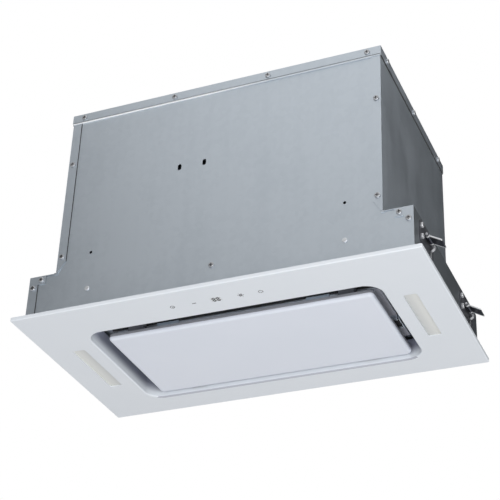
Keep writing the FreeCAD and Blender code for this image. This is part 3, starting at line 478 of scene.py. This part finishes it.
# Bright painted highlight for the rims of the clip wings
wing_rim_highlight = metal("wing_rim_highlight", (0.80, 0.81, 0.82), (0.92, 0.93, 0.94), 0.3, EVEN, bare=0.3)
bare_spring = metal("bare_spring", (0.42, 0.43, 0.45), (0.54, 0.55, 0.57), 0.2, BRUSHED_Z, bare=0.5)
clip_zinc = metal("clip_zinc", (0.50, 0.51, 0.53), (0.66, 0.67, 0.69), 0.24, EVEN, bare=0.5)
clip_steel = metal("clip_steel", (0.08, 0.083, 0.095), (0.13, 0.134, 0.15), 0.3, BRUSHED_Y, bare=0.6)
rivet_zinc = metal("rivet_zinc", (0.62, 0.64, 0.67), (0.74, 0.76, 0.79), 0.26, EVEN, bare=0.75)
# Near-black painted shade for the cross recess of a screw
recess_shade = metal("recess_shade", (0.02, 0.02, 0.024), (0.05, 0.05, 0.056), 0.4, EVEN)
white_plastic = plastic("white_plastic", (0.60, 0.61, 0.60), (0.68, 0.69, 0.68), 0.45, 0.03 * MM)
# Grey painted shade on the walls of the intake panel's tray
panel_wall_shade = plastic("panel_wall_shade", (0.25, 0.257, 0.285), (0.31, 0.318, 0.35), 0.45, 0.01 * MM)
# Pale blue-grey painted light for the frame's underside
frame_underside_light = plastic("frame_underside_light", (0.40, 0.41, 0.46), (0.46, 0.47, 0.52), 0.6, 0.05 * MM)
ferrite = plastic("ferrite", (0.10, 0.104, 0.118), (0.15, 0.155, 0.172), 0.45, 0.02 * MM)
# White paint of the fascia, with painted shade up the lip of the opening
fascia_white = white_paint("fascia_white", (0.728, 0.768, 0.815), (0.748, 0.785, 0.83), shade_up_lip=True)
# Grey painted shade for the rear fold of the opening
rear_fold_shade = white_paint("rear_fold_shade", (0.40, 0.415, 0.47), (0.44, 0.455, 0.51))
own_finish = {
    "fascia": fascia_white,
    "clip_bases": clip_steel,
    "clip_springs": bare_spring,
    "clip_screws": clip_zinc,
    "clip_pins": clip_zinc,
    "rail_rivets": rivet_zinc,
    "catch_magnets": ferrite,
    "lamp_housing_right": white_plastic,
    "lamp_housing_left": white_plastic,
    "led_boards": white_plastic,
}


# Mesh helpers

def finish_piece(mesh, name, material, body):
    data = bpy.data.meshes.new(name)
    mesh.normal_update()
    mesh.to_mesh(data)
    mesh.free()
    data.materials.append(material)
    data.shade_smooth()
    data.set_sharp_from_angle(angle=SHARP)
    piece = bpy.data.objects.new(name, data)
    scene.collection.objects.link(piece)
    normals = piece.modifiers.new("flat_faces", "WEIGHTED_NORMAL")
    normals.keep_sharp = True
    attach(piece, body)
    return piece


def cad_copy(node):
    source = frame["nodes"][node].data
    mesh = bmesh.new()
    points = [mesh.verts.new(vertex.co) for vertex in source.vertices]
    for polygon in source.polygons:
        mesh.faces.new([points[index] for index in polygon.vertices])
    bmesh.ops.remove_doubles(mesh, verts=mesh.verts[:], dist=WELD)
    return mesh


def round_edges(mesh, width):
    bmesh.ops.dissolve_limit(mesh, angle_limit=FLAT, verts=mesh.verts[:], edges=mesh.edges[:])
    sharp = [edge for edge in mesh.edges if edge.is_manifold and edge.calc_face_angle() > SHARP]
    bmesh.ops.bevel(mesh, geom=sharp, offset=width, segments=ROUND_STEPS, profile=0.5, affect="EDGES",
                    clamp_overlap=True)


def cut_across(mesh, place, normal):
    whole = mesh.verts[:] + mesh.edges[:] + mesh.faces[:]
    bmesh.ops.bisect_plane(mesh, geom=whole, plane_co=place, plane_no=normal, dist=WELD)


def join_rows(mesh, first, second):
    """Faces between two closed rows of points."""
    count = len(first)
    for index in range(count):
        after = (index + 1) % count
        mesh.faces.new((first[index], first[after], second[after], second[index]))


def add_prism(mesh, outline, low, high):
    under = [mesh.verts.new((x, y, low)) for x, y in outline]
    over = [mesh.verts.new((x, y, high)) for x, y in outline]
    mesh.faces.new(under[::-1])
    mesh.faces.new(over)
    join_rows(mesh, under, over)


def add_ring(mesh, centre, radius, width, low, high, start=0, end=360, steps=24):
    """A flat arc with square ends, from one angle to another, in degrees."""
    whole = end - start >= 360
    inner = radius - width / 2
    outer = radius + width / 2
    rows = []
    for step in range(steps if whole else steps + 1):
        angle = radians(start + (end - start) * step / steps)
        along = Vector((cos(angle), sin(angle)))
        row = []
        for reach, height in ((inner, low), (outer, low), (outer, high), (inner, high)):
            row.append(mesh.verts.new((centre.x + along.x * reach, centre.y + along.y * reach, height)))
        rows.append(row)
    for first, second in zip(rows, rows[1:]):
        join_rows(mesh, second, first)
    if whole:
        join_rows(mesh, rows[0], rows[-1])
    else:
        mesh.faces.new(rows[0])
        mesh.faces.new(rows[-1][::-1])


def add_bar(mesh, start, end, width, low, high):
    along = (end - start).normalized()
    across = Vector((-along.y, along.x)) * (width / 2)
    corners = (start - across, end - across, end + across, start + across)
    add_prism(mesh, [(corner.x, corner.y) for corner in corners], low, high)


def add_block(mesh, low, high):
    outline = [(low.x, low.y), (high.x, low.y), (high.x, high.y), (low.x, high.y)]
    add_prism(mesh, outline, low.z, high.z)


def second_finish(piece, material, chosen):
    """Another material on the faces that a test picks."""
    piece.data.materials.append(material)
    for face in piece.data.polygons:
        if chosen(face):
            face.material_index = 1


# Pieces that follow their CAD nodes, with rounded edges

def eased_piece(node):
    slot = slot_of[node]
    mesh = cad_copy(node)
    width = EDGE_ROUND.get(slot, 0)
    if width:
        round_edges(mesh, width)
    piece = finish_piece(mesh, node + "_finished", own_finish.get(node, materials[slot]), body_of[node])
    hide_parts(node)
    return piece


def fascia_piece(node):
    """White pan, with grey painted shade on the rear fold of the opening."""
    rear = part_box("intake_panel")[1].y

    def on_rear_fold(face):
        leans = face.normal.y < -FOLD_LEAN and face.normal.z < -FOLD_LEAN
        return leans and face.center.y > rear

    second_finish(eased_piece(node), rear_fold_shade, on_rear_fold)


def lower_side_piece(node):
    """Galvanised sheet, with painted shade: a darker copy of the zinc on the broad faces that carry the
    clips.
    """
    second_finish(eased_piece(node), shaded_zinc, lambda face: abs(face.normal.x) > BROAD_LEAN)


def frame_piece(node):
    """Aluminium frame, its underside pale blue-grey as painted light where it lies in shade above the
    panel.
    """
    second_finish(eased_piece(node), frame_underside_light, lambda face: face.normal.z < -BROAD_LEAN)


def panel_piece(node):
    """White front plate with rounded edges; the tray's walls above it are grey, as painted shade."""
    mesh = cad_copy(node)
    round_edges(mesh, EDGE_ROUND["white_paint"])
    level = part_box(node)[0].z + PANEL_PLATE
    cut_across(mesh, (0, 0, level), (0, 0, 1))
    for face in mesh.faces:
        if face.calc_center_median().z > level:
            face.material_index = 1
    piece = finish_piece(mesh, node + "_finished", materials["white_paint"], body_of[node])
    piece.data.materials.append(panel_wall_shade)
    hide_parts(node)


def wing_piece(node):
    """Dark spring steel, with a painted highlight along the front and back rims."""
    low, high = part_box(node)
    mesh = cad_copy(node)
    round_edges(mesh, EDGE_ROUND["spring_steel"])
    front = low.y + WING_RIM
    back = high.y - WING_RIM
    for y in (front, back):
        cut_across(mesh, (0, y, 0), (0, 1, 0))
    for face in mesh.faces:
        if not front < face.calc_center_median().y < back:
            face.material_index = 1
    piece = finish_piece(mesh, node + "_finished", materials["spring_steel"], body_of[node])
    piece.data.materials.append(wing_rim_highlight)
    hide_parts(node)


# Screws with painted shade in the cross recess

def islands(mesh):
    """The faces of each separate solid in turn."""
    left = set(mesh.faces)
    while left:
        group = {left.pop()}
        rim = list(group)
        while rim:
            face = rim.pop()
            for edge in face.edges:
                for other in edge.link_faces:
                    if other in left:
                        left.remove(other)
                        group.add(other)
                        rim.append(other)
        yield group


def head_recess(group):
    """Faces in the cross recess of a screw, which is longest along its axis and widest at its head."""
    points = [vertex.co for face in group for vertex in face.verts]
    low = [min(point[axis] for point in points) for axis in range(3)]
    high = [max(point[axis] for point in points) for axis in range(3)]
    along = max(range(3), key=lambda axis: high[axis] - low[axis])
    across = [axis for axis in range(3) if axis != along]
    middle = [(low[axis] + high[axis]) / 2 for axis in range(3)]

    def reach(point):
        return sum((point[axis] - middle[axis]) ** 2 for axis in across) ** 0.5

    def end_reach(level):
        return max(reach(point) for point in points if abs(point[along] - level) < RECESS_TOP)

    top = max((low[along], high[along]), key=end_reach)
    for face in group:
        centre = face.calc_center_median()
        depth = abs(top - centre[along])
        if RECESS_TOP < depth < RECESS_FLOOR and reach(centre) < RECESS_REACH:
            yield face


def screw_piece(node):
    mesh = cad_copy(node)
    for group in islands(mesh):
        for face in head_recess(group):
            face.material_index = 1
    finish = own_finish.get(node, materials["bright_steel"])
    piece = finish_piece(mesh, node + "_finished", finish, body_of[node])
    piece.data.materials.append(recess_shade)
    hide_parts(node)


# Strips and a bead of painted shade and painted highlight, and patches of the housing

def front_gap_shade():
    """Black strip along the front of the filter frame, as painted shade."""
    low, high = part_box("filter_frame")
    mesh = bmesh.new()
    add_block(mesh, Vector((low.x, low.y - SHADE_STRIP_DEPTH, low.z + SHADE_STRIP_RISE)), Vector((high.x, low.y, high.z)))
    piece = finish_piece(mesh, "front_gap_shade", materials["black_plastic"], body_of["filter_frame"])


def lip_highlight_bead():
    """A bead fills the step from the cover's front lip to the front plate, white as a painted highlight."""
    low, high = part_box("top_cover")
    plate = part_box("front_panel")[0].y
    z = low.z - BEAD_DROP
    mesh = bmesh.new()
    add_block(mesh, Vector((low.x, low.y, z)), Vector((high.x, plate, z + BEAD_HEIGHT)))
    piece = finish_piece(mesh, "lip_highlight_bead", highlight_white(), body_of["top_cover"])


def seam_shade_lines():
    """Black lines of painted shade along the inner edges of the left strips and under the cover's side
    lips.
    """
    wall_low, wall_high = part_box("upper_side_right")
    lower_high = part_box("lower_side_right")[1]
    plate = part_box("front_panel")[0].y
    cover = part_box("top_cover")[0].z
    seams = (
        (STRIP_WIDTH - wall_high.x, wall_low.z + SEAM_START, cover),
        (STRIP_WIDTH - lower_high.x, 0, lower_high.z - STRIP_WIDTH),
    )
    mesh = bmesh.new()
    for x, z0, z1 in seams:
        seam_low = Vector((x - INK_SUNK, plate - SHADE_LINE_HEIGHT, z0))
        add_block(mesh, seam_low, Vector((x + SHADE_LINE_WIDTH, plate + INK_SUNK, z1)))
    for side in (-1, 1):
        x0, x1 = sorted((side * (wall_high.x - INK_SUNK), side * (wall_high.x + LIP_SHADE_DEPTH)))
        lip_shade_low = Vector((x0, wall_low.y, cover - LIP_SHADE_HEIGHT))
        add_block(mesh, lip_shade_low, Vector((x1, wall_high.y, cover + INK_SUNK)))
    piece = finish_piece(mesh, "seam_shade_lines", materials["black_plastic"], "housing")


def notch_patches():
    """Solder that closes the inner corner of each notch."""
    wall_low, wall_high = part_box("upper_side_right")
    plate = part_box("front_panel")[0].y
    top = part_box("lower_side_right")[1].z + PATCH_SIDE_RISE
    mesh = bmesh.new()
    for side in (-1, 1):
        x0, x1 = sorted((side * (wall_high.x - PATCH_WIDTH / 2), side * (wall_high.x + PATCH_WIDTH / 2)))
        add_block(mesh, Vector((x0, wall_low.y, top - PATCH_HEIGHT)), Vector((x1, plate, top)))
    piece = finish_piece(mesh, "notch_patches", materials["galvanised"], "housing")


# Lens of the lamps

def crowned_rows(mesh, centre, half, face):
    """Rows of points over the middle of a lens, which bulges down to its lower face."""
    rows = []
    for row in range(LENS_ROWS + 1):
        v = 2 * row / LENS_ROWS - 1
        points = []
        for column in range(LENS_COLUMNS + 1):
            u = 2 * column / LENS_COLUMNS - 1
            lift = 1 - (1 - u ** LENS_WIDTH_POWER) * (1 - v ** LENS_LENGTH_POWER)
            place = (centre.x + u * half.x, centre.y + v * half.y, face + LENS_CROWN * lift)
            points.append(mesh.verts.new(place))
        rows.append(points)
    for first, second in zip(rows, rows[1:]):
        for column in range(LENS_COLUMNS):
            mesh.faces.new((first[column], second[column], second[column + 1], first[column + 1]))
    return rows


def lens_piece(node):
    """Crowned and frosted inside a flat rim."""
    low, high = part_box(node)
    centre = (low + high) / 2
    half = Vector(((high.x - low.x) / 2 - LENS_RIM, (high.y - low.y) / 2 - LENS_RIM))
    widen_x = (high.x - low.x) / (2 * half.x)
    widen_y = (high.y - low.y) / (2 * half.y)

    def outward(point, z):
        away = point.co - centre
        return (centre.x + away.x * widen_x, centre.y + away.y * widen_y, z)

    mesh = bmesh.new()
    rows = crowned_rows(mesh, centre, half, low.z)
    edge = rows[0] + [row[-1] for row in rows[1:]]
    edge += rows[-1][-2::-1] + [row[0] for row in rows[-2:0:-1]]
    step = [mesh.verts.new((point.co.x, point.co.y, low.z)) for point in edge]
    rim = [mesh.verts.new(outward(point, low.z)) for point in edge]
    top = [mesh.verts.new(outward(point, high.z)) for point in edge]
    for first, second in ((edge, step), (step, rim), (rim, top)):
        join_rows(mesh, first, second)
    mesh.faces.new(top)
    bmesh.ops.recalc_face_normals(mesh, faces=mesh.faces[:])
    piece = finish_piece(mesh, node + "_finished", materials["lens_plastic"], body_of[node])
    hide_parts(node)


# Filter of expanded metal in layers

def add_strand(mesh, places):
    """One strand of square section through a row of places."""
    half = STRAND_WIDTH / 2
    tall = STRAND_HEIGHT / 2
    section = ((-half, -tall), (half, -tall), (half, tall), (-half, tall))
    rings = []
    for x, y, z in places:
        rings.append([mesh.verts.new((x, y + across, z + height)) for across, height in section])
    mesh.faces.new(rings[0])
    for first, second in zip(rings, rings[1:]):
        join_rows(mesh, first, second)
    mesh.faces.new(rings[-1][::-1])


def filter_piece(node):
    """Layers of zigzag strands, where each strand meets its neighbours."""
    low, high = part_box(node)
    columns = int((high.x - low.x - STRAND_WIDTH) / STRAND_STEP)
    strands = int((high.y - low.y - 2 * STRAND_WIDTH) / STRAND_PITCH)
    start_x = (low.x + high.x - columns * STRAND_STEP) / 2
    start_y = (low.y + high.y - strands * STRAND_PITCH) / 2
    front = low.y + STRAND_WIDTH
    back = high.y - STRAND_WIDTH
    swing = STRAND_PITCH / 2 - STRAND_WIDTH / 4
    mesh = bmesh.new()
    for layer in range(MESH_LAYERS):
        z = low.z + (high.z - low.z) * (layer + 0.5) / MESH_LAYERS
        for strand in range(strands + 1):
            middle = start_y + strand * STRAND_PITCH
            places = []
            for column in range(columns + 1):
                side = 1 if (strand + column + layer) % 2 else -1
                y = min(max(middle + side * swing, front), back)
                places.append((start_x + column * STRAND_STEP, y, z))
            add_strand(mesh, places)
    bmesh.ops.recalc_face_normals(mesh, faces=mesh.faces[:])
    piece = finish_piece(mesh, "filter_mesh_strands", materials["filter_aluminium"], body_of[node])
    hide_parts(node)


# Touch icons printed on the fascia, and the unlit figures of the display

def touch_icons():
    """From the left: clock, less, the display, lamp and power."""
    display_low, display_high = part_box("display_window")
    row_y = (display_low.y + display_high.y) / 2
    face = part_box("fascia")[0].z
    low = face - INK_PROUD
    high = face + INK_SUNK
    radius = ICON_RADIUS
    mesh = bmesh.new()

    def icon_middle(step):
        return Vector((step * ICON_PITCH, row_y))

    def stroke(start, end, width=ICON_LINE):
        add_bar(mesh, start, end, width, low, high)

    clock = icon_middle(-2)
    add_ring(mesh, clock, radius, ICON_LINE, low, high)
    stroke(clock, clock + Vector((0, radius * LONG_HAND)))
    stroke(clock, clock + Vector((radius * SHORT_HAND, 0)))
    less = icon_middle(-1)
    stroke(less - Vector((radius, 0)), less + Vector((radius, 0)), DASH_LINE)
    lamp = icon_middle(1) + Vector((LAMP_ICON_SHIFT, 0))
    add_ring(mesh, lamp, radius * BULB_RADIUS, radius * BULB_LINE, low, high)
    for index in range(RAY_COUNT):
        turn = radians(360 * index / RAY_COUNT)
        ray = Vector((cos(turn), sin(turn))) * radius
        stroke(lamp + ray * RAY_START, lamp + ray * RAY_END)
    power = icon_middle(2)
    add_ring(mesh, power, radius, ICON_LINE, low, high, POWER_ARC_START, POWER_ARC_END)
    stroke(power + Vector((0, radius * POWER_STROKE_START)), power + Vector((0, radius * POWER_STROKE_END)))
    piece = finish_piece(mesh, "touch_icons", printed_ink(), "housing")


def display_figures():
    """Two figures of seven bars each, all of them dark."""
    low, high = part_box("display_window")
    base = low.z - INK_PROUD
    top = low.z + INK_SUNK
    middle_y = (low.y + high.y) / 2
    half = Vector((FIGURE_WIDTH / 2, FIGURE_HEIGHT / 2))
    bar_end = FIGURE_LINE / 2 + FIGURE_GAP
    mesh = bmesh.new()
    for side in (-1, 1):
        left = side * FIGURE_OFFSET - half.x
        right = side * FIGURE_OFFSET + half.x
        for level in (-1, 0, 1):
            y = middle_y + level * half.y
            start = Vector((left + FIGURE_GAP, y))
            add_bar(mesh, start, Vector((right - FIGURE_GAP, y)), FIGURE_LINE, base, top)
        for x in (left, right):
            for level in (-1, 0):
                start = Vector((x, middle_y + level * half.y + bar_end))
                end = Vector((x, middle_y + (level + 1) * half.y - bar_end))
                add_bar(mesh, start, end, FIGURE_LINE, base, top)
    piece = finish_piece(mesh, "display_figures", materials["black_plastic"], "housing")


# Camera, lights and surroundings

def photo_camera():
    data = bpy.data.cameras.new("photo_camera")
    data.lens = CAMERA_LENS
    data.sensor_width = CAMERA_SENSOR
    data.clip_end = CAMERA_REACH
    camera = bpy.data.objects.new("photo_camera", data)
    right = Vector((cos(CAMERA_AZIMUTH), sin(CAMERA_AZIMUTH), 0))
    level = cos(CAMERA_ELEVATION)
    back = Vector((sin(CAMERA_AZIMUTH) * level, -cos(CAMERA_AZIMUTH) * level, sin(CAMERA_ELEVATION)))
    up = back.cross(right)
    rolled_right = right * cos(CAMERA_ROLL) + up * sin(CAMERA_ROLL)
    rolled_up = up * cos(CAMERA_ROLL) - right * sin(CAMERA_ROLL)
    turn = Matrix((rolled_right, rolled_up, back)).transposed().to_4x4()
    camera.matrix_world = Matrix.Translation(CAMERA_PLACE) @ turn
    scene.collection.objects.link(camera)
    scene.camera = camera


def round_lamp(name, place, width, power):
    data = bpy.data.lights.new(name, "AREA")
    data.shape = "DISK"
    data.size = width
    data.energy = power
    lamp = bpy.data.objects.new(name, data)
    lamp.location = place
    lamp.rotation_mode = "QUATERNION"
    lamp.rotation_quaternion = (-Vector(place)).to_track_quat("-Z", "Y")
    scene.collection.objects.link(lamp)


def seen_directly(tree):
    """One for rays that show the background as it is: from the camera, in gloss and through glass."""
    path = tree.nodes.new("ShaderNodeLightPath")
    total = path.outputs["Is Camera Ray"]
    for name in ("Is Glossy Ray", "Is Transmission Ray"):
        node = tree.nodes.new("ShaderNodeMath")
        node.operation = "MAXIMUM"
        tree.links.new(total, node.inputs[0])
        tree.links.new(path.outputs[name], node.inputs[1])
        total = node.outputs["Value"]
    return total


def white_surroundings():
    world = bpy.data.worlds.new("white_surroundings")
    world.use_nodes = True
    tree = world.node_tree
    background = tree.nodes["Background"]
    background.inputs["Color"].default_value = (1, 1, 1, 1)
    strength = spread(tree, seen_directly(tree), low=AMBIENT, high=1.0, start=0, end=1)
    tree.links.new(strength, background.inputs["Strength"])
    scene.world = world


def stage_sheet(name, corners, material):
    mesh = bmesh.new()
    mesh.faces.new([mesh.verts.new(corner) for corner in corners])
    data = bpy.data.meshes.new(name)
    mesh.to_mesh(data)
    mesh.free()
    data.materials.append(material)
    sheet = bpy.data.objects.new(name, data)
    scene.collection.objects.link(sheet)
    sheet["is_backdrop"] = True
    return sheet


def pale_floor():
    material, tree, shader = new_material("pale_floor")
    shader.inputs["Base Color"].default_value = FLOOR_COLOUR
    shader.inputs["Roughness"].default_value = FLOOR_ROUGHNESS
    glow = tree.nodes.new("ShaderNodeEmission")
    mix = tree.nodes.new("ShaderNodeMixShader")
    share = spread(tree, seen_directly(tree), low=0.0, high=FLOOR_GLOW, start=0, end=1)
    tree.links.new(share, mix.inputs["Fac"])
    tree.links.new(shader.outputs["BSDF"], mix.inputs[1])
    tree.links.new(glow.outputs["Emission"], mix.inputs[2])
    tree.links.new(mix.outputs["Shader"], tree.nodes["Material Output"].inputs["Surface"])
    corners = [(x * FLOOR_REACH, y * FLOOR_REACH, FLOOR_LEVEL) for x, y in SQUARE]
    stage_sheet("floor", corners, material)


def studio_card(name, corners, level):
    """A grey or black card that only shows in gloss and takes no light from the object."""
    material, tree, shader = new_material(name)
    shader.inputs["Base Color"].default_value = (0, 0, 0, 1)
    shader.inputs["Specular IOR Level"].default_value = 0
    shader.inputs["Emission Color"].default_value = (1, 1, 1, 1)
    shader.inputs["Emission Strength"].default_value = level
    card = stage_sheet(name, corners, material)
    card.visible_camera = False
    card.visible_diffuse = False
    card.visible_shadow = False


def upright_corners(reach_x, reach_z):
    x0, x1 = reach_x
    z0, z1 = reach_z
    return [(x, UPRIGHT_CARD_Y, z) for x, z in ((x0, z0), (x1, z0), (x1, z1), (x0, z1))]


def facing_corners(side, distance, half):
    """Corners of a square card that faces the object from one side."""
    across = side.cross(Vector((0, 0, 1))).normalized() * half
    up = across.cross(side).normalized() * half
    middle = side.normalized() * distance
    return [middle + across * x + up * y for x, y in SQUARE]


# The dressed part
own_pieces = {
    "fascia": fascia_piece,
    "intake_panel": panel_piece,
    "filter_frame": frame_piece,
    "lower_side_right": lower_side_piece,
    "lower_side_left": lower_side_piece,
    "lamp_lens_right": lens_piece,
    "lamp_lens_left": lens_piece,
    "filter_mesh": filter_piece,
    "cover_screws": screw_piece,
    "plate_screws": screw_piece,
    "clip_screws": screw_piece,
    "outlet_screws": screw_piece,
    "clip_wing_front_right": wing_piece,
    "clip_wing_front_left": wing_piece,
    "clip_wing_rear_right": wing_piece,
    "clip_wing_rear_left": wing_piece,
}
for node in slot_of:
    own_pieces.get(node, eased_piece)(node)
front_gap_shade()
lip_highlight_bead()
seam_shade_lines()
notch_patches()
touch_icons()
display_figures()

# The studio
photo_camera()
for name, (place, width, power) in LAMPS.items():
    round_lamp(name, place, width, power)
white_surroundings()
pale_floor()
for name, (reach_x, reach_z, level) in UPRIGHT_CARDS.items():
    studio_card(name, upright_corners(reach_x, reach_z), level)
black_corners = facing_corners(BLACK_CARD_SIDE, BLACK_CARD_DISTANCE, BLACK_CARD_HALF)
studio_card("right_card", black_corners, level=0.0)

boxes = {"cad": cad_box, "visual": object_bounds()}
{name: [list(corner) for corner in box] for name, box in boxes.items()}
